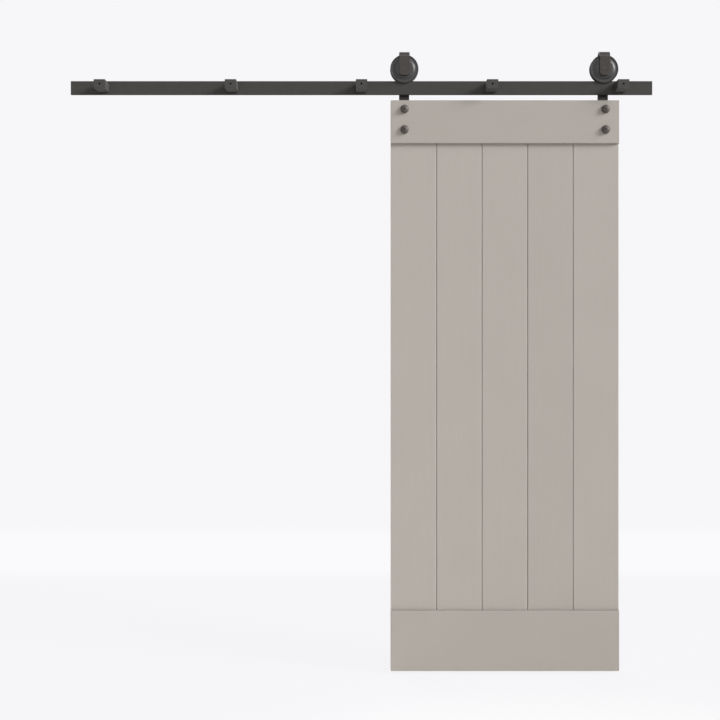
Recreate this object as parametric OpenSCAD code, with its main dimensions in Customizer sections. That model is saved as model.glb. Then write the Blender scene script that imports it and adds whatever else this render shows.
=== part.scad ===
// Sliding barn door: a boarded leaf that hangs by two bent straps from wheels on a flat bar track.
// Millimetres. X runs along the track, Y leads from the wall plane (Y = 0) into the room, Z is up,
// and Z = 0 lies at the middle of the track, on the line of its wall fixings.

/* [Door leaf] */
// Width of the leaf
door_w = 800; // [600:1:1200]
// Height of the leaf
door_h = 2000; // [1600:1:2600]
// Number of upright boards
board_count = 5; // [3:1:8]
// Thickness of the upright boards
board_t = 20; // [16:0.5:30]
// Open joint between two boards
board_gap = 0.4; // [0.2:0.1:1]
// Bevel on the long edges of a board
board_bevel = 2.5; // [1:0.1:4]
// Eased corners on the leaf's own outer edges
outer_ease = 0.5; // [0.2:0.1:2]
// Thickness of a board's tongue
tongue_t = 6; // [4:0.5:8]
// Reach of a board's tongue
tongue_l = 8; // [5:0.5:12]
// Play of a tongue in its groove, all round
tongue_play = 0.3; // [0.1:0.05:0.6]
// Thickness of the cross rails
rail_t = 10; // [5:0.5:14]
// Height of the top cross rails
top_rail_h = 150; // [135:1:260]
// Height of the bottom cross rails
bottom_rail_h = 212; // [100:1:320]
// Rounding of the cross rails' outer edges
rail_round = 1; // [0.5:0.1:3]

/* [Track and standoffs] */
// Length of the track
track_l = 2050; // [1950:1:3000]
// Height of the track bar
track_h = 48; // [40:0.5:60]
// Thickness of the track bar
track_t = 8; // [6:0.5:10]
// Rounding of the track's long edges
track_round = 1.2; // [0.5:0.1:3.5]
// Number of wall fixings
fixing_count = 5; // [2:1:7]
// Distance of the end fixings from the track's ends
fixing_inset = 115; // [40:1:300]
// Bore for a wall fixing
fixing_d = 7; // [5:0.5:12]
// Width of a standoff block
standoff_w = 40; // [25:0.5:60]
// Length of a standoff block, from wall to track
standoff_l = 55; // [45:0.5:90]
// Rounding of a standoff's long edges
standoff_round = 2; // [0.5:0.1:4]
// Room between a standoff and a wheel's flange that passes over it
flange_pass = 1; // [0.8:0.1:4]

/* [Place of the leaf] */
// Distance of the leaf's edge from the track's right end
door_end = 122; // [60:1:1000]
// Open height between the track and the leaf's top
door_drop = 25.3; // [15:0.1:60]

/* [Hangers] */
// Width of a hanger strap
strap_w = 36; // [30:0.5:50]
// Thickness of a hanger strap
strap_t = 6; // [4:0.5:8]
// Space between a strap's two legs
leg_gap = 27; // [25:0.5:34]
// Room between a wheel's rim and the bend above it
hook_gap = 5.4; // [4:0.1:12]
// Reach of the short leg below the axle
leg_tail = 25.3; // [18:0.1:30]
// Rounding of the short leg's corners
leg_corner = 12; // [2:0.5:15]
// Reach of the long leg below its lower bolt
strap_tail = 27; // [15:0.5:40]
// Rounding of the long leg's corners
strap_corner = 10; // [2:0.5:15]
// Distance of a hanger's middle from the leaf's edge
hanger_inset = 48; // [35:0.5:150]
// Distance of the upper bolt below the leaf's top
bolt_drop = 31.2; // [20:0.1:40]
// Distance between a hanger's two bolts
bolt_pitch = 71.8; // [40:0.1:80]

/* [Wheels] */
// Radius of a wheel's tread
tread_r = 42.2; // [35:0.1:55]
// Height of the flanges beyond the tread
flange_h = 7.6; // [4:0.1:8]
// Gap between tread and track
roll_gap = 0.1; // [0.05:0.05:0.3]
// Side play of the track in a wheel's groove
groove_play = 0.6; // [0.3:0.05:1]
// Widening of the groove towards the rim, each side
groove_draft = 1.4; // [0.5:0.1:2]
// Radius of the rounded bead at a flange's edge
bead_r = 2.2; // [1.5:0.1:2.6]
// Width of a wheel over its flanges
rim_w = 20; // [18:0.1:21]
// Room between the hub and a hanger's leg
hub_gap = 0.8; // [0.5:0.1:2]
// Depth of the web face below the rim's bead
web_inset = 1.8; // [0.5:0.1:2.4]
// Distance of the hub shoulder's foot inside the tread
shoulder_inset = 0.7; // [0.5:0.1:6]
// Radial width of the S-shaped shoulder between web and raised hub
shoulder_w = 13.5; // [8:0.1:14]

/* [Bearings] */
// Outer diameter of a ball bearing
bearing_d = 32; // [30:0.5:36]
// Diameter of a ball
ball_d = 6; // [5:0.1:6.4]
// Number of balls in a bearing
ball_count = 7; // [5:1:8]
// Running play between balls and rings
race_play = 0.12; // [0.05:0.01:0.2]
// Thickness of a ball cage
cage_t = 1.8; // [1:0.1:2.4]
// Wall of the cage beside a ball
cage_wall = 0.5; // [0.3:0.05:0.8]
// Room between a cage and the dust shields
cage_room = 0.45; // [0.2:0.05:1]
// Thickness of a dust shield
shield_t = 0.6; // [0.4:0.05:0.8]
// Depth of a shield's edge in its seat
shield_seat = 0.5; // [0.3:0.05:0.8]
// Depth of a shield below the rings' faces
shield_inset = 0.4; // [0.2:0.05:0.8]
// Gap between a shield and the inner ring
shield_gap = 0.3; // [0.2:0.05:0.6]
// Play of parts that sit in or on one another
seat_play = 0.05; // [0.02:0.01:0.1]
// Thickness of a retaining ring
clip_t = 1.2; // [1:0.1:1.6]
// Radial width of a retaining ring
clip_w = 3; // [2:0.1:4]
// Depth of a retaining ring in its groove
clip_seat = 0.85; // [0.5:0.05:1.2]
// Opening between a retaining ring's ends
clip_open = 8; // [4:0.5:12]
// Outer diameter of an axle bush
bush_d = 17; // [15:0.5:18]

/* [Fasteners] */
// Diameter of a wheel's axle
axle_d = 12; // [10:0.5:13]
// Width of the square neck in an axle's countersunk head, beyond the axle's own diameter
neck_over = 0.4; // [0.2:0.1:1]
// Distance of the countersunk head's foot from the strap's inner face
neck_short = 1; // [0.5:0.1:2]
// Width across the flats of an axle's nut
axle_af = 19; // [17:0.5:22]
// Outer diameter of an axle's washer
axle_washer_d = 24; // [21:0.5:30]
// Height of an axle's thin nut
axle_nut_h = 6; // [5:0.1:10]
// Reach of an axle's end past its nut
nut_past = 4; // [1:0.1:6]
// Diameter of a hanger bolt
bolt_d = 10; // [8:0.5:11]
// Width across the flats of a hanger bolt's head
bolt_af = 17; // [15:0.5:19]
// Height of a hanger bolt's head
bolt_head_h = 6.4; // [5:0.1:8]
// Length of a hanger bolt's thread inside its barrel nut
bolt_grip = 26; // [12:0.5:26]
// Outer diameter of a hanger bolt's washer
bolt_washer_d = 22; // [19:0.5:28]
// Thickness of the washers
washer_t = 2; // [1:0.1:3]
// Outer diameter of a barrel nut's sleeve
barrel_d = 14; // [13:0.5:16]
// Diameter of a barrel nut's head
barrel_head_d = 29; // [24:0.5:34]
// Height of a barrel nut's head
barrel_head_h = 13; // [8:0.1:18]
// Straight edge of a barrel nut's head
barrel_edge = 5; // [0.5:0.1:6]
// Distance of the sleeve's end from the strap
barrel_short = 2; // [1:0.1:4]
// Width across the flats of a barrel nut's socket
socket_af = 5; // [4:0.5:10]
// Depth of a barrel nut's socket
socket_depth = 4.5; // [3:0.1:8]
// Play between a thread and its nut, at the radius
thread_play = 0.15; // [0.05:0.01:0.3]
// Play of a bolt in a clearance hole, at the radius
hole_play = 0.3; // [0.1:0.05:0.6]

/* [Hidden] */
$fn = 64;
ball_fn = 24;
// Overshoot of cutting shapes
cut = 1;
// Largest rounding of the track, as a share of its thickness
round_limit = 0.45;

// Colours
paint = "#b2aca4";
coat = "#4a4847";
black = "#3a3837";
steel = "#b4b4b6";

// Depths, from the wall plane into the room
track_y = standoff_l + track_t / 2;
track_edge_r = min(track_round, round_limit * track_t);
short_leg_y = track_y - leg_gap / 2 - strap_t;
room_face_y = track_y + leg_gap / 2;
strap_back_y = room_face_y + strap_t;
head_y = strap_back_y + washer_t;
board_y = room_face_y - rail_t - board_t / 2;
door_t = board_t + 2 * rail_t;
wall_face_y = room_face_y - door_t;

// Heights, from the middle of the track
wheel_r = tread_r + flange_h;
axle_z = track_h / 2 + roll_gap + tread_r;
hook_r = leg_gap / 2;
hook_z = axle_z + wheel_r + hook_gap - hook_r;
door_top = -track_h / 2 - door_drop;
door_bottom = door_top - door_h;
bolt_z = [door_top - bolt_drop, door_top - bolt_drop - bolt_pitch];
strap_bottom = bolt_z[1] - strap_tail;
leg_bottom = axle_z - leg_tail;
standoff_h = track_h - 2 * (flange_h + flange_pass);

// Places along the track
door_left = track_l / 2 - door_end - door_w;
door_x = door_left + door_w / 2;
board_pitch = door_w / board_count;
hanger_x = [door_left + hanger_inset, door_left + door_w - hanger_inset];
fixing_pitch = (track_l - 2 * fixing_inset) / (fixing_count - 1);
fixing_x = [for (i = [1:fixing_count]) -track_l / 2 + fixing_inset + (i - 1) * fixing_pitch];

// Half widths of a wheel, from the middle of the track
rim_half = rim_w / 2;
hub_half = leg_gap / 2 - hub_gap;
web_half = rim_half - web_inset;
groove_half = track_t / 2 + groove_play;
shoulder_r = tread_r - shoulder_inset;
hub_r = shoulder_r - shoulder_w;
shoulder_h = hub_half - web_half;
shoulder_round = (pow(shoulder_w, 2) + pow(shoulder_h, 2)) / (4 * shoulder_h);

// Ball bearing
pitch_r = (axle_d + bearing_d) / 4;
race_r = ball_d / 2 + race_play;
land = ball_d / 3;
inner_land_r = pitch_r - land;
outer_land_r = pitch_r + land;
cage_half = ball_d / 2 + seat_play + cage_wall;
shield_z = cage_half + cage_room;
bearing_w = 2 * (shield_z + shield_t + shield_inset);
bearing_r = bearing_d / 2;
hub_seat_r = bearing_r + seat_play;
hub_shoulder_r = outer_land_r + shield_seat;
clip_groove_r = hub_seat_r + clip_seat;
bush_l = (leg_gap - bearing_w) / 2 - seat_play;

// Fasteners
axle_bore = axle_d + 2 * hole_play;
neck_w = axle_d + neck_over;
neck_hole = neck_w + 2 * hole_play;
neck_l = strap_t - neck_short;
axle_head_d = axle_d + 2 * neck_l;
bolt_bore = bolt_d + 2 * hole_play;
barrel_bore = barrel_d + 2 * hole_play;
barrel_l = door_t - barrel_short;
barrel_floor = 1;
bolt_l = bolt_grip + barrel_short + strap_t + washer_t;
thread_chamfer = 1;
// Turned-off corners of hexagons: slope in degrees and flat top, as a share of the width across flats
head_slope = 30;
head_top = 0.95;

SIDES = ["left", "right"];
ON_EACH_SIDE = [
    "hanger", "barrel_nuts", "hanger_bolts", "hanger_washers",
    "axle_bolt", "axle_washer", "axle_nut", "axle_bushes",
    "wheel", "bearing_inner", "bearing_outer", "bearing_shields", "bearing_clip",
    "bearing_balls", "ball_cage"
];

// Turns a shape's own Z to lead into the room from point p
module into_room(p) {
    translate(p) rotate([-90, 0, 0]) children();
}

// Turns a shape's own Z to lead back to the wall from point p
module toward_wall(p) {
    translate(p) rotate([90, 0, 0]) children();
}

// Extrudes a Y-Z section along X, centred on the section's plane
module along_track(length) {
    rotate([90, 0, 90]) linear_extrude(length, center = true) children();
}

// Rectangle with all corners rounded, centred
module rounded_rect(w, h, r) {
    square([w - 2 * r, h], center = true);
    square([w, h - 2 * r], center = true);
    for (x = [-1, 1], y = [-1, 1])
        translate([x * (w / 2 - r), y * (h / 2 - r)]) circle(r);
}

// Section of thickness t on the X axis, w wide, whose two far corners are rounded
module eased_section(w, t, r) {
    translate([-w / 2, 0]) square([w, t - r]);
    translate([-w / 2 + r, 0]) square([w - 2 * r, t]);
    for (side = [-1, 1])
        translate([side * (w / 2 - r), t - r]) circle(r);
}

// Spherical cap with a straight edge
module dome(d, h, edge) {
    cap = h - edge;
    sphere_r = (pow(d / 2, 2) + pow(cap, 2)) / (2 * cap);
    intersection() {
        cylinder(d = d, h = h);
        translate([0, 0, h - sphere_r]) sphere(sphere_r);
    }
}

// Hexagon prism whose top corners are turned off
module hexagon(af, h) {
    top_r = head_top * af / 2;
    intersection() {
        cylinder(d = af / cos(30), h = h, $fn = 6);
        cylinder(r1 = top_r + h / tan(head_slope), r2 = top_r, h = h);
    }
}

// Hexagon bolt, its head above Z = 0 and its shank below
module hex_bolt(d, l, af, head_h) {
    hexagon(af, head_h);
    translate([0, 0, -l + thread_chamfer]) cylinder(d = d, h = l - thread_chamfer);
    translate([0, 0, -l]) cylinder(d1 = d - 2 * thread_chamfer, d2 = d, h = thread_chamfer);
}

module washer(outer_d, inner_d) {
    difference() {
        cylinder(d = outer_d, h = washer_t);
        translate([0, 0, -cut]) cylinder(d = inner_d, h = washer_t + 2 * cut);
    }
}

// Both bolt holes of both hangers, through the whole leaf
module barrel_holes() {
    for (x = hanger_x, z = bolt_z)
        into_room([x, wall_face_y - cut, z]) cylinder(d = barrel_bore, h = door_t + 2 * cut);
}

module track() {
    color(coat) difference() {
        translate([0, track_y, 0]) along_track(track_l) rounded_rect(track_t, track_h, track_edge_r);
        for (x = fixing_x)
            into_room([x, standoff_l - cut, 0]) cylinder(d = fixing_d, h = track_t + 2 * cut);
    }
}

module standoff(i) {
    color(coat) into_room([fixing_x[i - 1], 0, 0]) difference() {
        linear_extrude(standoff_l) rounded_rect(standoff_w, standoff_h, standoff_round);
        translate([0, 0, -cut]) cylinder(d = fixing_d, h = standoff_l + 2 * cut);
    }
}

// Section of board i: bevelled edges, a tongue on the right and a groove on the left where boards meet
module board_section(i) {
    left = i == 1 ? 0 : board_gap / 2;
    right = board_pitch - (i == board_count ? 0 : board_gap / 2);
    face = board_t / 2;
    ease_l = i == 1 ? outer_ease : board_bevel;
    ease_r = i == board_count ? outer_ease : board_bevel;
    groove_w = tongue_t + 2 * tongue_play;
    difference() {
        union() {
            polygon([
                [left + ease_l, -face], [right - ease_r, -face],
                [right, ease_r - face], [right, face - ease_r],
                [right - ease_r, face], [left + ease_l, face],
                [left, face - ease_l], [left, ease_l - face]
            ]);
            if (i < board_count)
                translate([right - cut, -tongue_t / 2]) square([tongue_l + cut, tongue_t]);
        }
        if (i > 1)
            translate([left - cut, -groove_w / 2])
                square([tongue_l - board_gap + tongue_play + cut, groove_w]);
    }
}

module board(i) {
    color(paint) difference() {
        translate([door_left + (i - 1) * board_pitch, board_y, door_bottom])
            linear_extrude(door_h) board_section(i);
        barrel_holes();
    }
}

// Cross rail of height h with its lower edge at z, its back on the boards, its eased face outwards
module cross_rail(h, z, outward) {
    back_y = board_y + outward * board_t / 2;
    color(paint) difference() {
        translate([door_x, back_y, z + h / 2]) mirror([0, outward < 0 ? 1 : 0, 0]) intersection() {
            along_track(door_w) rotate(-90) eased_section(h, rail_t, rail_round);
            linear_extrude(h, center = true) eased_section(door_w, rail_t, rail_round);
        }
        barrel_holes();
    }
}

module top_rail_wall() { cross_rail(top_rail_h, door_top - top_rail_h, -1); }
module bottom_rail_wall() { cross_rail(bottom_rail_h, door_bottom, -1); }
module top_rail_room() { cross_rail(top_rail_h, door_top - top_rail_h, 1); }
module bottom_rail_room() { cross_rail(bottom_rail_h, door_bottom, 1); }

// Bent form of a strap seen along the track: short leg, bend and long leg
module strap_section() {
    outer_r = hook_r + strap_t;
    translate([0, hook_z]) difference() {
        circle(outer_r);
        circle(hook_r);
        translate([-outer_r - cut, -outer_r - cut]) square([2 * (outer_r + cut), outer_r + cut]);
    }
    translate([-outer_r, leg_bottom]) square([strap_t, hook_z - leg_bottom]);
    translate([hook_r, strap_bottom]) square([strap_t, hook_z - strap_bottom]);
}

// Face of one leg, from its rounded lower corners at z up past the bend; depth is measured along Y
module leg_face(z, corner, depth) {
    h = hook_z + hook_r + strap_t + cut - z;
    rotate([90, 0, 0]) linear_extrude(depth) translate([0, z]) {
        translate([-strap_w / 2, corner]) square([strap_w, h - corner]);
        translate([-strap_w / 2 + corner, 0]) square([strap_w - 2 * corner, h]);
        for (side = [-1, 1])
            translate([side * (strap_w / 2 - corner), corner]) circle(corner);
    }
}

module hanger(x) {
    reach = hook_r + strap_t + cut;
    color(coat) difference() {
        translate([x, track_y, 0]) intersection() {
            along_track(strap_w) strap_section();
            union() {
                leg_face(leg_bottom, leg_corner, reach);
                translate([0, reach, 0]) leg_face(strap_bottom, strap_corner, reach);
            }
        }
        into_room([x, room_face_y - cut, axle_z]) cylinder(d = axle_bore, h = strap_t + 2 * cut);
        translate([x, short_leg_y + strap_t / 2, axle_z])
            cube([neck_hole, strap_t + 2 * cut, neck_hole], center = true);
        into_room([x, short_leg_y - cut, axle_z])
            cylinder(d1 = axle_head_d + 2 * (hole_play + cut), d2 = axle_bore, h = neck_l + cut);
        for (z = bolt_z)
            into_room([x, room_face_y - cut, z]) cylinder(d = bolt_bore, h = strap_t + 2 * cut);
    }
}

// Sleeve nut: domed head with a hexagon socket, sleeve below Z = 0 with a blind thread bore
module barrel_nut() {
    difference() {
        union() {
            dome(barrel_head_d, barrel_head_h, barrel_edge);
            translate([0, 0, -barrel_l]) cylinder(d = barrel_d, h = barrel_l + barrel_edge);
        }
        translate([0, 0, -barrel_l - cut])
            cylinder(d = bolt_d + 2 * thread_play, h = barrel_l + cut - barrel_floor);
        translate([0, 0, barrel_head_h - socket_depth])
            cylinder(d = socket_af / cos(30), h = socket_depth + cut, $fn = 6);
    }
}

module barrel_nuts(x) {
    color(black) for (z = bolt_z) toward_wall([x, wall_face_y, z]) barrel_nut();
}

module hanger_bolts(x) {
    color(black) for (z = bolt_z)
        into_room([x, head_y, z]) hex_bolt(bolt_d, bolt_l, bolt_af, bolt_head_h);
}

module hanger_washers(x) {
    color(black) for (z = bolt_z) into_room([x, strap_back_y, z]) washer(bolt_washer_d, bolt_bore);
}

// Axle with a flush countersunk head in the short leg and a square neck that the leg holds
module axle_bolt(x) {
    length = head_y - short_leg_y + axle_nut_h + nut_past;
    color(black) {
        translate([x, short_leg_y + neck_l / 2, axle_z]) cube([neck_w, neck_l, neck_w], center = true);
        into_room([x, short_leg_y, axle_z]) {
            cylinder(d1 = axle_head_d, d2 = axle_d, h = neck_l);
            cylinder(d = axle_d, h = length - thread_chamfer);
            translate([0, 0, length - thread_chamfer])
                cylinder(d1 = axle_d, d2 = axle_d - 2 * thread_chamfer, h = thread_chamfer);
        }
    }
}

module axle_washer(x) {
    color(black) into_room([x, strap_back_y, axle_z]) washer(axle_washer_d, axle_bore);
}

// Thin hexagon nut on the room side
module axle_nut(x) {
    color(black) into_room([x, head_y, axle_z]) difference() {
        hexagon(axle_af, axle_nut_h);
        translate([0, 0, -cut]) cylinder(d = axle_d + 2 * thread_play, h = axle_nut_h + 2 * cut);
    }
}

// Bushes between the bearing's inner ring and the two legs
module axle_bushes(x) {
    color(steel) for (y = [-leg_gap / 2 + seat_play, bearing_w / 2])
        into_room([x, track_y + y, axle_z]) difference() {
            cylinder(d = bush_d, h = bush_l);
            translate([0, 0, -cut]) cylinder(d = axle_bore, h = bush_l + 2 * cut);
        }
}

// One face of a wheel in section, from the middle plane: hub, S-shaped shoulder, web and bead
module wheel_face() {
    bead_at = wheel_r - bead_r;
    half_w = shoulder_w / 2;
    translate([hub_shoulder_r, 0]) square([hub_r - hub_shoulder_r, hub_half]);
    intersection() {
        translate([hub_r, 0]) square([half_w, hub_half]);
        translate([hub_r, hub_half - shoulder_round]) circle(shoulder_round);
    }
    difference() {
        translate([hub_r + half_w, 0]) square([half_w, web_half + shoulder_h / 2]);
        translate([shoulder_r, web_half + shoulder_round]) circle(shoulder_round);
    }
    translate([shoulder_r, 0]) square([bead_at - shoulder_r, web_half]);
    translate([bead_at, rim_half - bead_r]) circle(bead_r);
}

// Half section of a wheel: both faces, less the track groove, the bearing seat and the clip's groove
module wheel_section() {
    difference() {
        for (side = [0, 1]) mirror([0, side]) wheel_face();
        polygon([
            [tread_r, -groove_half], [wheel_r, -groove_half - groove_draft],
            [wheel_r + cut, -groove_half - groove_draft], [wheel_r + cut, groove_half + groove_draft],
            [wheel_r, groove_half + groove_draft], [tread_r, groove_half]
        ]);
        translate([0, -bearing_w / 2]) square([hub_seat_r, bearing_w / 2 + hub_half + cut]);
        translate([0, bearing_w / 2]) square([clip_groove_r, clip_t + 2 * seat_play]);
    }
}

module wheel(x) {
    color(coat) into_room([x, track_y, axle_z]) rotate_extrude() wheel_section();
}

module bearing_inner(x) {
    bore_r = axle_d / 2 + seat_play;
    color(steel) into_room([x, track_y, axle_z]) rotate_extrude() difference() {
        translate([bore_r, -bearing_w / 2]) square([inner_land_r - bore_r, bearing_w]);
        translate([pitch_r, 0]) circle(race_r);
    }
}

module bearing_outer(x) {
    color(steel) into_room([x, track_y, axle_z]) rotate_extrude() difference() {
        translate([outer_land_r, -bearing_w / 2]) square([bearing_r - outer_land_r, bearing_w]);
        translate([pitch_r, 0]) circle(race_r);
        for (side = [0, 1])
            mirror([0, side]) translate([0, shield_z - seat_play])
                square([outer_land_r + shield_seat, shield_t + 2 * seat_play]);
    }
}

module bearing_shields(x) {
    inner_r = inner_land_r + shield_gap;
    outer_r = outer_land_r + shield_seat - seat_play;
    color(steel) into_room([x, track_y, axle_z]) rotate_extrude() for (side = [0, 1])
        mirror([0, side]) translate([inner_r, shield_z]) square([outer_r - inner_r, shield_t]);
}

// Open retaining ring in the hub, its gap at the top
module bearing_clip(x) {
    outer_r = clip_groove_r - seat_play;
    color(steel) into_room([x, track_y + bearing_w / 2 + seat_play, axle_z]) difference() {
        cylinder(r = outer_r, h = clip_t);
        translate([0, 0, -cut]) cylinder(r = outer_r - clip_w, h = clip_t + 2 * cut);
        translate([-clip_open / 2, -outer_r - cut, -cut]) cube([clip_open, outer_r, clip_t + 2 * cut]);
    }
}

module ball_places() {
    for (i = [0:ball_count - 1]) rotate(i * 360 / ball_count) translate([pitch_r, 0, 0]) children();
}

module bearing_balls(x) {
    color(steel) into_room([x, track_y, axle_z]) ball_places() sphere(d = ball_d, $fn = ball_fn);
}

// Ring with a round hole drilled outwards for each ball
module ball_cage(x) {
    color(steel) into_room([x, track_y, axle_z]) difference() {
        translate([0, 0, -cage_half]) cylinder(r = pitch_r + cage_t / 2, h = 2 * cage_half);
        translate([0, 0, -cage_half - cut])
            cylinder(r = pitch_r - cage_t / 2, h = 2 * (cage_half + cut));
        ball_places() rotate([0, 90, 0])
            cylinder(r = ball_d / 2 + seat_play, h = cage_t + 2 * cut, center = true);
    }
}

track();
for (i = [1:fixing_count]) standoff(i);
for (i = [1:board_count]) board(i);
top_rail_wall();
bottom_rail_wall();
top_rail_room();
bottom_rail_room();
for (s = [0, 1]) {
    x = hanger_x[s];
    side = SIDES[s];
    hanger(x);
    barrel_nuts(x);
    hanger_bolts(x);
    hanger_washers(x);
    axle_bolt(x);
    axle_washer(x);
    axle_nut(x);
    axle_bushes(x);
    wheel(x);
    bearing_inner(x);
    bearing_outer(x);
    bearing_shields(x);
    bearing_clip(x);
    bearing_balls(x);
    ball_cage(x);
}
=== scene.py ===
import math

import bmesh
import bpy
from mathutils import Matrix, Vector


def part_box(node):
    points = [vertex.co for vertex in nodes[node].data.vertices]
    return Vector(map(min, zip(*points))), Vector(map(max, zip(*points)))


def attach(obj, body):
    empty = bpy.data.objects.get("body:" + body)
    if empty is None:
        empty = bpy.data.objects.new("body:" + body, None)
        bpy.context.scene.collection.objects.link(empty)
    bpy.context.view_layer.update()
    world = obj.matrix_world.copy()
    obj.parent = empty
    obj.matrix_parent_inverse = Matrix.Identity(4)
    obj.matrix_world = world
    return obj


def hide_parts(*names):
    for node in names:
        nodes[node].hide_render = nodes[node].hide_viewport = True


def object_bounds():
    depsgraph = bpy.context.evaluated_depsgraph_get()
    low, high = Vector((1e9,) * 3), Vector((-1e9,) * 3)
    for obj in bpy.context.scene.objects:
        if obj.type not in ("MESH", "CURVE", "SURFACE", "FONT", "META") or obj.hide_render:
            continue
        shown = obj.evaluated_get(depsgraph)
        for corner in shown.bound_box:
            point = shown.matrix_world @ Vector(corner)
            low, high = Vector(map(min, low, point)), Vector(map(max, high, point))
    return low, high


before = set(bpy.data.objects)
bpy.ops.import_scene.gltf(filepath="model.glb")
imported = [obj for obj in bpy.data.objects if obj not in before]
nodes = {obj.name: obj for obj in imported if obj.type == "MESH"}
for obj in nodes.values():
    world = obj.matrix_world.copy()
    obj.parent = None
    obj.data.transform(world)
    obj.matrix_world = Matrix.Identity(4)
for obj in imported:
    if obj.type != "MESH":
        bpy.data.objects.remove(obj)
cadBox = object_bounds()
print("frame loaded:", len(nodes), "solids")


def srgb(red, green, blue):
    # 8-bit display colour to a linear one with alpha
    def linear(level):
        part = level / 255
        return part / 12.92 if part <= 0.04045 else ((part + 0.055) / 1.055) ** 2.4

    return (linear(red), linear(green), linear(blue), 1.0)


def middle(node):
    low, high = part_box(node)
    return (low + high) / 2


# places that the finishes line up with, read from the solids
boardCount = sum(name.startswith("board_") for name in nodes)
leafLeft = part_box("board_1")[0].x
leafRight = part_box("board_%d" % boardCount)[1].x
boardPitch = (leafRight - leafLeft) / boardCount
leafMiddle = (leafLeft + leafRight) / 2
boardMiddle = middle("board_1")
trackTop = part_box("track")[1].z
axle = middle("wheel_right")
treadRadius = axle.z - trackTop
axleReach = axle.x - leafMiddle  # both axles stand this far from the leaf's middle
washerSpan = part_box("hanger_washers_right")[1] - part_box("hanger_washers_right")[0]
boltMiddle = middle("hanger_washers_right").z
boltReach = (washerSpan.z - washerSpan.x) / 2  # both bolts stand this far above and below their middle
boltsBelow = (-0.03, -0.02)  # heights between the axles and the bolts
floorLevel = cadBox[0].z


class Wire:
    # one socket of a node tree: sums and products of wires add Math nodes
    def __init__(self, tree, socket=None):
        self.tree = tree
        self.socket = socket

    def node(self, kind, settings=None, sockets=None, out=0):
        made = self.tree.nodes.new(kind)
        for key, value in (settings or {}).items():
            setattr(made, key, value)
        for key, value in (sockets or {}).items():
            if isinstance(value, Wire):
                self.tree.links.new(value.socket, made.inputs[key])
            elif isinstance(value, list):  # a socket that takes several wires
                for wire in value:
                    self.tree.links.new(wire.socket, made.inputs[key])
            else:
                made.inputs[key].default_value = value
        return Wire(self.tree, made.outputs[out] if made.outputs else None)

    def also(self, out):
        return Wire(self.tree, self.socket.node.outputs[out])

    def math(self, operation, *values, clamp=False):
        settings = {"operation": operation, "use_clamp": clamp}
        return self.node("ShaderNodeMath", settings, dict(enumerate(values)))

    def __add__(self, other):
        return self.math("ADD", self, other)

    def __radd__(self, other):
        return self.math("ADD", other, self)

    def __sub__(self, other):
        return self.math("SUBTRACT", self, other)

    def __rsub__(self, other):
        return self.math("SUBTRACT", other, self)

    def __mul__(self, other):
        return self.math("MULTIPLY", self, other)

    def __rmul__(self, other):
        return self.math("MULTIPLY", other, self)

    def __truediv__(self, other):
        return self.math("DIVIDE", self, other)

    def __abs__(self):
        return self.math("ABSOLUTE", self)

    def floor(self):
        return self.math("FLOOR", self)

    def over(self, limit):
        return self.math("GREATER_THAN", self, limit)

    def hypot(self, other):
        return self.math("SQRT", self * self + other * other)

    def clamp(self):
        return self.math("ADD", self, 0.0, clamp=True)

    def ramp(self, low, high):
        # 0 at low, 1 at high, smooth between
        return self.node("ShaderNodeMapRange", {"interpolation_type": "SMOOTHSTEP"},
                         {"Value": self, "From Min": low, "From Max": high})

    def colours(self, first, second):
        return self.node("ShaderNodeMix", {"data_type": "RGBA"}, {0: self, 6: first, 7: second}, out=2)

    def xyz(self):
        x = self.node("ShaderNodeSeparateXYZ", None, {0: self})
        return x, x.also(1), x.also(2)

    def vector(self, x, y, z):
        return self.node("ShaderNodeCombineXYZ", None, {0: x, 1: y, 2: z})

    def noise(self, vector, scale=1.0, detail=2.0, rough=0.5, bend=0.0):
        return self.node("ShaderNodeTexNoise", None, {
            "Vector": vector, "Scale": scale, "Detail": detail, "Roughness": rough, "Distortion": bend})

    def bump(self, strength, distance):
        return self.node("ShaderNodeBump", None,
                         {"Strength": strength, "Distance": distance, "Height": self})


def newFinish(name):
    made = bpy.data.materials.new(name)
    made.use_nodes = True
    made.node_tree.nodes.clear()
    start = Wire(made.node_tree)
    return made, start, start.node("ShaderNodeTexCoord", out="Object")


def coated(start, sockets):
    shader = start.node("ShaderNodeBsdfPrincipled", None, sockets)
    start.node("ShaderNodeOutputMaterial", None, {"Surface": shader})


def swing(level, noises, shares):
    # a level that noises round one half move by their shares
    for noise, share in zip(noises, shares):
        level = level + (noise - 0.5) * share
    return level


# painted timber: one satin paint, the grain of the boards just showing through it; the rails are coloured
# a few levels darker than the boards
doorPaint = {
    "light": srgb(181, 175, 168),
    "deep": srgb(171, 165, 158),
    "railLight": srgb(176, 170, 163),
    "railDeep": srgb(167, 161, 154),
    "endGrain": srgb(160, 154, 147),
    "endShare": 0.55,
    "endRough": 0.12,
    # painted shade for the bottom rails' upper edges, in the corner against the boards
    "paintedLedgeShade": srgb(136, 130, 124),
    "ledgeShadeShare": 0.85,
    "ledgeShadeSwing": (0.6,),
    "square": (0.8, 0.95),  # how far a face has to point along an axis to count as an end or a ledge
    "grainAcross": 230.0,
    "grainAlong": 5.5,
    "fineAcross": 900.0,
    "fineAlong": 16.0,
    "cloudScale": 5.0,
    "peelScale": 650.0,
    "toneSwing": (0.7, 0.45, 0.5, 0.35),  # grain, fine grain, clouds, one board to the next
    "ownShift": 5.37,
    "ior": 1.45,
    "roughness": 0.5,
    "roughSwing": (0.14, 0.1),
    "bump": 0.35,
    "grainHeight": 0.00022,
    "heightShares": (0.5, 0.35, 0.15, 0.4),  # grain, fine grain, orange peel, growth rings
    "ringPitch": 0.0032,
    "ringWave": 0.8,
    "ringTone": 0.2,
    "heartAcross": 0.4,  # the growth rings' centre, in board widths across the board
    "heartBelow": 0.06,  # and how far it lies below the frame's origin in a rail
    "heartBehind": 0.05,
}


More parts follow.
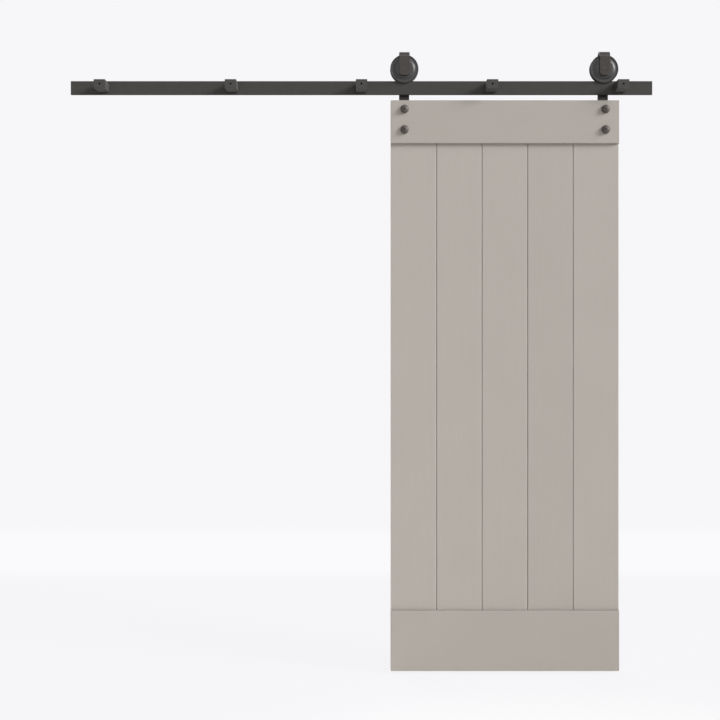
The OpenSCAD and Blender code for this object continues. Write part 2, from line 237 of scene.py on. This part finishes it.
def paintedTimber(name, upright):
    made, start, place = newFinish(name)
    x, y, z = place.xyz()
    if upright:
        across, along = x, z
        index = ((x - leafLeft) / boardPitch).floor()
    else:
        across, along = z, x
        index = z.over(boardMiddle.z) * 2.0 + y.over(boardMiddle.y)
    shift = index * doorPaint["ownShift"]
    coarse, hair = doorPaint["grainAcross"], doorPaint["fineAcross"]
    grain = start.vector(across * coarse + shift, y * coarse, along * doorPaint["grainAlong"] + shift)
    grain = start.noise(grain, detail=4.0, rough=0.55, bend=0.7)
    fine = start.vector(across * hair + shift, y * hair, along * doorPaint["fineAlong"])
    fine = start.noise(fine, detail=3.0, rough=0.6, bend=0.2)
    cloud = start.noise(place, doorPaint["cloudScale"], detail=3.0)
    peel = start.noise(place, doorPaint["peelScale"])
    own = start.node("ShaderNodeTexWhiteNoise", {"noise_dimensions": "1D"}, {"W": index + 0.5})
    tone = swing(0.5, (grain, fine, cloud, own), doorPaint["toneSwing"]).clamp()
    if upright:
        colour = tone.colours(doorPaint["deep"], doorPaint["light"])
    else:
        colour = tone.colours(doorPaint["railDeep"], doorPaint["railLight"])
    # sawn ends drink more paint and show their growth rings
    facing = start.node("ShaderNodeTexCoord", out="Normal").xyz()
    end = abs(facing[2] if upright else facing[0]).ramp(*doorPaint["square"])
    if upright:
        heart = across - (index + doorPaint["heartAcross"]) * boardPitch - leafLeft
    else:
        heart = across + doorPaint["heartBelow"]
    radius = heart.hypot(y - (boardMiddle.y + doorPaint["heartBehind"]))
    rings = radius / doorPaint["ringPitch"] + grain * doorPaint["ringWave"]
    rings = start.math("SINE", rings * math.tau)
    soaked = end * (doorPaint["endShare"] + rings * doorPaint["ringTone"])
    colour = soaked.colours(colour, doorPaint["endGrain"])
    if not upright:  # painted shade: the bottom rails' upper edges, in the corner against the boards, are coloured darker
        ledge = facing[2].ramp(*doorPaint["square"]) * (1.0 - z.over(boardMiddle.z))
        paintedShadeMix = ledge * swing(doorPaint["ledgeShadeShare"], (fine,), doorPaint["ledgeShadeSwing"])
        colour = paintedShadeMix.colours(colour, doorPaint["paintedLedgeShade"])
    rough = swing(doorPaint["roughness"], (fine, cloud), doorPaint["roughSwing"])
    rough = rough + end * doorPaint["endRough"]
    ofGrain, ofFine, ofPeel, ofRings = doorPaint["heightShares"]
    height = grain * ofGrain + fine * ofFine + peel * ofPeel + end * rings * ofRings
    coated(start, {"Base Color": colour, "Roughness": rough, "IOR": doorPaint["ior"],
                   "Normal": height.bump(doorPaint["bump"], doorPaint["grainHeight"])})
    return made


# powder coat on steel: dark, fine orange peel; matt on the track, satin on the hangers, and
# burnished by the wheels along the top of the track
powderCoat = {
    "track": (srgb(65, 63, 62), srgb(75, 73, 71)),
    "standoff": (srgb(70, 68, 67), srgb(81, 79, 77)),
    "hanger": (srgb(49, 44, 41), srgb(58, 53, 49)),
    "burnish": srgb(96, 94, 92),
    "burnishShare": 0.6,
    "mottle": 38.0,
    "peel": 820.0,
    "speck": 2600.0,
    "speckFrom": (0.62, 0.74),
    "speckTone": 0.2,
    "toneSwing": (0.8, 0.6),
    "roughSwing": (0.12, 0.1),
    "roughness": 0.7,
    "specular": 0.15,
    "hangerRoughness": 0.27,
    "hangerSpecular": 0.35,
    "bump": 0.3,
    "peelHeight": 0.00012,
    "runWidth": 0.0012,
    "runSmooth": 0.12,
    "streakAlong": 9.0,
    "streakAcross": 1400.0,
    "streakFrom": (0.3, 0.62),
}


def powderCoated(name, shades, roughness, specular, runsOnTop=False):
    made, start, place = newFinish(name)
    mottle = start.noise(place, powderCoat["mottle"], detail=4.0, rough=0.55)
    peel = start.noise(place, powderCoat["peel"])
    speck = start.noise(place, powderCoat["speck"], detail=1.0).ramp(*powderCoat["speckFrom"])
    tone = swing(0.5, (mottle, peel), powderCoat["toneSwing"]) + speck * powderCoat["speckTone"]
    colour = tone.clamp().colours(*shades)
    rough = swing(roughness, (mottle, peel), powderCoat["roughSwing"])
    if runsOnTop:
        x, y, z = place.xyz()
        along, across = powderCoat["streakAlong"], powderCoat["streakAcross"]
        streak = start.noise(start.vector(x * along, y * across, z * across), detail=3.0, rough=0.6)
        worn = z.ramp(trackTop - powderCoat["runWidth"], trackTop) * streak.ramp(*powderCoat["streakFrom"])
        colour = (worn * powderCoat["burnishShare"]).colours(colour, powderCoat["burnish"])
        rough = rough - worn * powderCoat["runSmooth"]
    coated(start, {"Base Color": colour, "Roughness": rough, "Specular IOR Level": specular,
                   "Normal": peel.bump(powderCoat["bump"], powderCoat["peelHeight"])})
    return made


def turnedRadius(place, overBolts):
    # distance from the nearest axle, or from the nearest bolt below the track
    x, y, z = place.xyz()
    side = abs(x - leafMiddle) - axleReach
    rise = z - axle.z
    if overBolts:
        low = 1.0 - z.ramp(*boltsBelow)
        rise = rise * (1.0 - low) + (abs(z - boltMiddle) - boltReach) * low
    return side.hypot(rise), y


def turnedMarks(start, radius, y, pitch, drawn=1.0):
    # fine rings that a tool leaves round an axis; drawn is their density along it
    return start.noise(start.vector(radius / pitch, y / pitch * drawn, 0.0), rough=0.6)


# turned wheels: satin black coat, worn to bright steel where the tread runs on the track
wheelCoat = {
    "deep": srgb(43, 42, 41),
    "light": srgb(54, 52, 51),
    "bare": srgb(120, 117, 113),
    "treadFlank": 0.002,
    "treadHalf": 0.0052,
    "treadFade": (0.4, 0.8),  # where the worn steel starts to fade, in parts of its flank and half width
    "treadMetal": 0.85,
    "treadSmooth": 0.05,
    "wornFrom": (0.22, 0.5),
    "lathePitch": 0.0007,
    "drawn": 0.6,
    "mottle": 60.0,
    "peel": 1100.0,
    "toneSwing": (0.8, 0.6),
    "ior": 1.5,
    "roughness": 0.43,
    "roughSwing": (0.14, 0.08),
    "bump": 0.3,
    "markHeight": 0.00002,
    "heightShares": (0.6, 0.4),  # tool marks, orange peel
}


def turnedCoat(name):
    made, start, place = newFinish(name)
    radius, y = turnedRadius(place, False)
    lathe = turnedMarks(start, radius, y, wheelCoat["lathePitch"], wheelCoat["drawn"])
    mottle = start.noise(place, wheelCoat["mottle"], detail=4.0, rough=0.6)
    peel = start.noise(place, wheelCoat["peel"])
    tone = swing(0.5, (mottle, lathe), wheelCoat["toneSwing"]).clamp()
    colour = tone.colours(wheelCoat["deep"], wheelCoat["light"])
    flank, half = wheelCoat["treadFlank"], wheelCoat["treadHalf"]
    flankFade, halfFade = wheelCoat["treadFade"]
    tread = ((1.0 - abs(radius - treadRadius).ramp(flank * flankFade, flank))
             * (1.0 - abs(y - axle.y).ramp(half * halfFade, half)) * mottle.ramp(*wheelCoat["wornFrom"]))
    colour = tread.colours(colour, wheelCoat["bare"])
    rough = swing(wheelCoat["roughness"], (mottle, lathe), wheelCoat["roughSwing"])
    rough = rough - tread * wheelCoat["treadSmooth"]
    ofLathe, ofPeel = wheelCoat["heightShares"]
    height = lathe * ofLathe + peel * ofPeel
    coated(start, {"Base Color": colour, "Roughness": rough, "IOR": wheelCoat["ior"],
                   "Metallic": tread * wheelCoat["treadMetal"],
                   "Normal": height.bump(wheelCoat["bump"], wheelCoat["markHeight"])})
    return made


# blackened bolts, nuts and washers; the axles' are darker and smoother
blackSteel = {
    "deep": srgb(81, 76, 72),
    "light": srgb(97, 91, 86),
    "axleDeep": srgb(51, 46, 43),
    "axleLight": srgb(60, 55, 51),
    "specular": 0.3,
    "roughness": 0.5,
    "axleSpecular": 0.35,
    "axleRoughness": 0.29,
    "lathePitch": 0.0005,
    "drawn": 0.4,
    "mottle": 140.0,
    "toneSwing": (1.0, 0.5),
    "roughSwing": (0.2, 0.1),
    "bump": 0.3,
    "markHeight": 0.00005,
}


def blackened(name, deep, light, roughness, specular):
    made, start, place = newFinish(name)
    radius, y = turnedRadius(place, True)
    lathe = turnedMarks(start, radius, y, blackSteel["lathePitch"], blackSteel["drawn"])
    mottle = start.noise(place, blackSteel["mottle"], detail=4.0, rough=0.6)
    tone = swing(0.5, (mottle, lathe), blackSteel["toneSwing"]).clamp()
    colour = tone.colours(deep, light)
    rough = swing(roughness, (mottle, lathe), blackSteel["roughSwing"])
    coated(start, {"Base Color": colour, "Roughness": rough, "Specular IOR Level": specular,
                   "Normal": lathe.bump(blackSteel["bump"], blackSteel["markHeight"])})
    return made


# ground bearing steel
brightSteel = {
    "deep": srgb(150, 150, 152),
    "light": srgb(198, 198, 200),
    "roughness": 0.27,
    "roughSwing": (0.12, 0.12),
    "toneSwing": (0.9, 0.7),
    "grindPitch": 0.00018,
    "oil": 90.0,
    "bump": 0.25,
    "markHeight": 0.00002,
}


def ground(name):
    made, start, place = newFinish(name)
    radius, y = turnedRadius(place, False)
    grind = turnedMarks(start, radius, y, brightSteel["grindPitch"])
    oil = start.noise(place, brightSteel["oil"], detail=3.0)
    tone = swing(0.5, (grind, oil), brightSteel["toneSwing"]).clamp()
    colour = tone.colours(brightSteel["deep"], brightSteel["light"])
    rough = swing(brightSteel["roughness"], (grind, oil), brightSteel["roughSwing"])
    coated(start, {"Base Color": colour, "Roughness": rough, "Metallic": 1.0,
                   "Normal": grind.bump(brightSteel["bump"], brightSteel["markHeight"])})
    return made


boardPaint = paintedTimber("boardPaint", True)
railPaint = paintedTimber("railPaint", False)
matt = (powderCoat["roughness"], powderCoat["specular"])
satin = (powderCoat["hangerRoughness"], powderCoat["hangerSpecular"])
trackCoat = powderCoated("trackCoat", powderCoat["track"], *matt, runsOnTop=True)
standoffCoat = powderCoated("standoffCoat", powderCoat["standoff"], *matt)
hangerCoat = powderCoated("hangerCoat", powderCoat["hanger"], *satin)
wheelFinish = turnedCoat("wheelFinish")
boltBlack = blackened("boltBlack", blackSteel["deep"], blackSteel["light"],
                      blackSteel["roughness"], blackSteel["specular"])
axleBlack = blackened("axleBlack", blackSteel["axleDeep"], blackSteel["axleLight"],
                      blackSteel["axleRoughness"], blackSteel["axleSpecular"])
bearingSteel = ground("bearingSteel")

finishOf = {
    "track": trackCoat, "standoff": standoffCoat, "hanger_l": hangerCoat, "hanger_r": hangerCoat,
    "board": boardPaint, "top_rail": railPaint, "bottom_rail": railPaint,
    "barrel": boltBlack, "hanger_b": boltBlack, "hanger_w": boltBlack,
    "axle_bolt": axleBlack, "axle_w": axleBlack, "axle_n": axleBlack,
    "axle_bu": bearingSteel, "bearing": bearingSteel, "ball": bearingSteel, "wheel": wheelFinish,
}
for nodeName, part in nodes.items():
    finish = next(made for start, made in finishOf.items() if nodeName.startswith(start))
    part.data.materials.clear()
    part.data.materials.append(finish)
print("finishes laid on", len(nodes), "solids")


# cut threads: a helical ridge on a core, set on each loose point of a mesh that holds a bolt's plain part
threadCut = {
    "sides": 32,
    "stepsPerTurn": 28,
    "foot": 0.45,  # half widths of the ridge, in pitches
    "crest": 0.07,
    "sunk": -0.2,  # how deep the ridge's foot lies in the core, in thread depths
    "thinnest": 0.02,
    "sharpFrom": 32.0,
}


def threadTree(finish):
    tree = bpy.data.node_groups.new("cutThread", "GeometryNodeTree")

    def addSocket(name, way, kind):
        return tree.interface.new_socket(name, in_out=way, socket_type=kind).identifier

    addSocket("Geometry", "OUTPUT", "NodeSocketGeometry")
    addSocket("Geometry", "INPUT", "NodeSocketGeometry")
    names = ("Core", "Depth", "Pitch", "Length", "Lean")
    sockets = {name: addSocket(name, "INPUT", "NodeSocketFloat") for name in names}
    start = Wire(tree)
    given = start.node("NodeGroupInput")
    core, depth, pitch, length, lean = (given.also(name) for name in names)
    shaft = start.node("GeometryNodeMeshCylinder", {"fill_type": "NGON"},
                       {"Vertices": threadCut["sides"], "Radius": core, "Depth": length})
    shaft = start.node("GeometryNodeTransform", None,
                       {"Geometry": shaft, "Translation": start.vector(0.0, 0.0, length * 0.5)})
    turns = length / pitch - 1.0
    helix = start.node("GeometryNodeCurveSpiral", None, {
        "Resolution": threadCut["stepsPerTurn"], "Rotations": turns, "Start Radius": core,
        "End Radius": core, "Height": length - pitch, "Reverse": True})
    helix = start.node("GeometryNodeSetCurveNormal", {"mode": "Z_UP"}, {"Curve": helix})
    helix = start.node("GeometryNodeTransform", None,
                       {"Geometry": helix, "Translation": start.vector(0.0, 0.0, pitch * 0.5)})
    foot, crest = pitch * threadCut["foot"], pitch * threadCut["crest"]
    sunk = depth * threadCut["sunk"]
    ridge = start.node("GeometryNodeCurvePrimitiveQuadrilateral", {"mode": "POINTS"}, {
        "Point 1": start.vector(sunk, -1.0 * foot, 0.0), "Point 2": start.vector(depth, -1.0 * crest, 0.0),
        "Point 3": start.vector(depth, crest, 0.0), "Point 4": start.vector(sunk, foot, 0.0)})
    along = start.node("GeometryNodeSplineParameter", out="Factor")
    # the ridge runs out over its first and last turn
    taper = (start.math("MINIMUM", along, 1.0 - along) * turns + threadCut["thinnest"]).clamp()
    ridge = start.node("GeometryNodeCurveToMesh", None,
                       {"Curve": helix, "Profile Curve": ridge, "Scale": taper, "Fill Caps": True})
    cut = start.node("GeometryNodeJoinGeometry", None, {0: [shaft, ridge]})
    held = start.node("GeometryNodeInputMeshVertexNeighbors", out="Face Count")
    loose = start.math("LESS_THAN", held, 0.5)
    threads = start.node("GeometryNodeInstanceOnPoints", None, {
        "Points": given, "Selection": loose, "Instance": cut, "Rotation": start.vector(lean, 0.0, 0.0)})
    plain = start.node("GeometryNodeDeleteGeometry", None, {"Geometry": given, "Selection": loose})
    whole = start.node("GeometryNodeJoinGeometry", None, {0: [plain, threads]})
    whole = start.node("GeometryNodeRealizeInstances", None, {0: whole})
    whole = start.node("GeometryNodeSetMaterial", None, {"Geometry": whole, "Material": finish})
    start.node("NodeGroupOutput", None, {0: whole})
    return tree, sockets


def skin(shape, rings):
    # closed skin over rings of points, from the first ring to the last
    loops = [[shape.verts.new(point) for point in ring] for ring in rings]
    for lower, upper in zip(loops, loops[1:]):
        for i in range(len(lower)):
            j = (i + 1) % len(lower)
            shape.faces.new((lower[i], lower[j], upper[j], upper[i]))
    shape.faces.new(loops[0][::-1])
    shape.faces.new(loops[-1])


def ring(seat, outward, height, radius, corners=48):
    # ring of points round an axis that leads along Y from seat; height and radius may follow the angle
    points = []
    for i in range(corners):
        angle = math.tau * (i + 0.5) / corners
        reach = radius(angle) if callable(radius) else radius
        up = height(angle) if callable(height) else height
        x, z = reach * math.cos(angle), -outward * reach * math.sin(angle)
        points.append(seat + Vector((x, outward * up, z)))
    return points


def hexHead(shape, seat, outward, acrossFlats, height, crown):
    # hexagon with its corners turned off at 30 degrees, crown is the round flat's part of its width
    flat = 0.5 * crown * acrossFlats

    def edge(angle):
        return 0.5 * acrossFlats / math.cos(angle % (math.pi / 3) - math.pi / 6)

    def shoulder(angle):
        return height - max(edge(angle) - flat, 0.0) * math.tan(math.pi / 6)

    levels = ((0.0, edge), (shoulder, edge), (height, flat))
    skin(shape, [ring(seat, outward, up, radius) for up, radius in levels])


def finishBolts(name, shape, cut, lean, replaced):
    mesh = bpy.data.meshes.new(name)
    bmesh.ops.recalc_face_normals(shape, faces=shape.faces)
    shape.to_mesh(mesh)
    shape.free()
    bolts = bpy.data.objects.new(name, mesh)
    bpy.context.scene.collection.objects.link(bolts)
    tree, sockets = threadTree(cut["finish"])
    thread = bolts.modifiers.new("cutThread", "NODES")
    thread.node_group = tree
    sizes = {"Core": cut["radius"] - cut["depth"], "Depth": cut["depth"], "Pitch": cut["pitch"],
             "Length": cut["threaded"], "Lean": lean}
    for key, value in sizes.items():
        thread[sockets[key]] = value
    solid = bpy.data.meshes.new_from_object(bolts.evaluated_get(bpy.context.evaluated_depsgraph_get()))
    bolts.modifiers.clear()
    bolts.data = solid
    solid.name = name
    solid.polygons.foreach_set("use_smooth", [True] * len(solid.polygons))
    solid.set_sharp_from_angle(angle=math.radians(threadCut["sharpFrom"]))
    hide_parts(*replaced)
    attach(bolts, "door_leaf")
    print(name, "made of", len(solid.polygons), "faces")


# the four hexagon bolts that draw the hanger straps to the leaf
hangerBolt = {"radius": 0.005, "depth": 0.00092, "pitch": 0.0015, "threaded": 0.026,
              "crown": 0.95, "finish": boltBlack}


def hangerBolts():
    shape = bmesh.new()
    low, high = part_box("hanger_bolts_right")
    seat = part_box("hanger_washers_right")[1].y
    acrossFlats = (high.x - low.x) * math.cos(math.pi / 6)
    for side in (-1, 1):
        for rise in (-1, 1):
            place = Vector((leafMiddle + side * axleReach, seat, boltMiddle + rise * boltReach))
            hexHead(shape, place, 1, acrossFlats, high.y - seat, hangerBolt["crown"])
            plain = seat - low.y - hangerBolt["threaded"]
            skin(shape, [ring(place, -1, height, hangerBolt["radius"]) for height in (0.0, plain)])
            shape.verts.new(place + Vector((0.0, -plain, 0.0)))
    finishBolts("hangerBolts", shape, hangerBolt, math.pi / 2, ("hanger_bolts_left", "hanger_bolts_right"))


# the two axles: flush countersunk head on the wall side, square neck, plain journal, threaded end
axlePin = {"radius": 0.006, "depth": 0.00107, "pitch": 0.00175, "threaded": 0.016,
           "neck": 0.0062, "neckFrom": 0.001, "finish": axleBlack}


def axlePins():
    shape = bmesh.new()
    low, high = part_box("axle_bolt_right")
    head = (high.x - low.x) / 2
    sunk = head - axlePin["radius"]  # the cone stands at 45 degrees
    plain = high.y - low.y - axlePin["threaded"]
    square = [Vector((i, 0.0, -j)) * axlePin["neck"] for i, j in ((1, 1), (-1, 1), (-1, -1), (1, -1))]
    for side in (-1, 1):
        place = Vector((leafMiddle + side * axleReach, low.y, axle.z))
        skin(shape, [ring(place, 1, 0.0, head), ring(place, 1, sunk, axlePin["radius"]),
                     ring(place, 1, plain, axlePin["radius"])])
        ends = [place + Vector((0.0, reach, 0.0)) for reach in (axlePin["neckFrom"], sunk)]
        skin(shape, [[end + corner for corner in square] for end in ends])
        shape.verts.new(place + Vector((0.0, plain, 0.0)))
    finishBolts("axlePins", shape, axlePin, -math.pi / 2, ("axle_bolt_left", "axle_bolt_right"))


hangerBolts()
axlePins()


# studio: pale floor that runs into a pale backdrop and lends much of the light; a soft key from the
# right, a weak light from above the camera and one from behind
studio = {
    "backdrop": srgb(247, 246, 249),
    # painted highlight: a lighter band in the floor's glow behind the leaf, where a backdrop would sweep
    # up
    "sweepHighlight": srgb(250, 249, 251),
    "sweepFrom": (1.45, 1.8),
    "sweepTo": (2.7, 3.3),
    # painted light: a brighter pool in the floor's glow in front of the leaf
    "paintedPool": srgb(254, 254, 254),
    "poolPlace": (0.62, -1.0),
    "poolReach": (1.3, 1.1),
    "poolFade": (0.4, 1.0),
    "matt": srgb(219, 218, 221),
    "bounce": srgb(231, 230, 229),
    "floorDrop": 0.012,
    "floorReach": 14.0,
    "shadowShare": 0.05,
    "fill": 0.03,
    "keyTo": (0.83, -0.33, 0.45),
    "keyStrength": 4.2,
    "keyAngle": 24.0,
    "topTo": (0.116, -0.826, 0.552),
    "topStrength": 0.5,
    "topAngle": 30.0,
    "backTo": (-0.3, 0.65, 0.7),
    "backStrength": 1.6,
    "backAngle": 50.0,
}


def seenByCamera(start):
    path = start.node("ShaderNodeLightPath", out="Is Camera Ray")
    return (path + path.also("Is Glossy Ray") + path.also("Is Transmission Ray")).clamp()


def layFloor():
    reach, level = studio["floorReach"], floorLevel - studio["floorDrop"]
    mesh = bpy.data.meshes.new("studioFloor")
    corners = [(i * reach, j * reach, level) for i, j in ((-1, -1), (1, -1), (1, 1), (-1, 1))]
    mesh.from_pydata(corners, [], [(0, 1, 2, 3)])
    floor = bpy.data.objects.new("studioFloor", mesh)
    bpy.context.scene.collection.objects.link(floor)
    made, start, place = newFinish("studioFloor")
    x, y, z = place.xyz()
    # painted highlight: a band of the floor further behind the leaf glows a little lighter
    sweepHighlight = y.ramp(*studio["sweepFrom"]) * (1.0 - y.ramp(*studio["sweepTo"]))
    # painted light: the floor glows brighter in a pool in front of the leaf
    fromPool = ((x - studio["poolPlace"][0]) / studio["poolReach"][0]).hypot(
        (y - studio["poolPlace"][1]) / studio["poolReach"][1])
    paintedPool = 1.0 - fromPool.ramp(*studio["poolFade"])
    pale = paintedPool.colours(sweepHighlight.colours(studio["backdrop"], studio["sweepHighlight"]), studio["paintedPool"])
    glow = start.node("ShaderNodeEmission", None, {"Color": pale})
    seen = seenByCamera(start)
    lit = seen.colours(studio["bounce"], studio["matt"])
    lit = start.node("ShaderNodeBsdfDiffuse", None, {"Color": lit})
    # the part that glows hides shadows, so near the leaf a small share stays lit
    near = 1.0 - y.ramp(*studio["sweepFrom"])
    share = seen * (1.0 - near * studio["shadowShare"])
    mixed = start.node("ShaderNodeMixShader", None, {0: share, 1: lit, 2: glow})
    start.node("ShaderNodeOutputMaterial", None, {"Surface": mixed})
    mesh.materials.append(made)


def hangSun(name, toLight, strength, angle):
    lamp = bpy.data.lights.new(name, "SUN")
    lamp.energy, lamp.angle = strength, math.radians(angle)
    holder = bpy.data.objects.new(name, lamp)
    holder.rotation_mode = "QUATERNION"
    holder.rotation_quaternion = Vector(toLight).to_track_quat("Z", "Y")
    bpy.context.scene.collection.objects.link(holder)


def lightWorld():
    world = bpy.data.worlds.new("studio")
    world.use_nodes = True
    world.node_tree.nodes.clear()
    start = Wire(world.node_tree)
    seen = seenByCamera(start)
    colour = seen.colours((1.0, 1.0, 1.0, 1.0), studio["backdrop"])
    level = studio["fill"] + seen * (1.0 - studio["fill"])
    sky = start.node("ShaderNodeBackground", None, {"Color": colour, "Strength": level})
    start.node("ShaderNodeOutputWorld", None, {"Surface": sky})
    bpy.context.scene.world = world


layFloor()
for lampName in ("key", "top", "back"):
    hangSun(lampName + "Light", *(studio[lampName + trait] for trait in ("To", "Strength", "Angle")))
lightWorld()
print("studio lit")

# level camera, square to the leaf
shot = {"place": (-0.0053, -3.4705, -0.9594), "lens": 50.0, "sensor": 36.0, "far": 60.0}
lens = bpy.data.cameras.new("shot")
lens.lens, lens.sensor_width = shot["lens"], shot["sensor"]
lens.clip_end = shot["far"]
camera = bpy.data.objects.new("shot", lens)
camera.location = shot["place"]
camera.rotation_euler = (math.radians(90), 0.0, 0.0)
bpy.context.scene.collection.objects.link(camera)
bpy.context.scene.camera = camera
bpy.context.scene.view_settings.view_transform = "Standard"
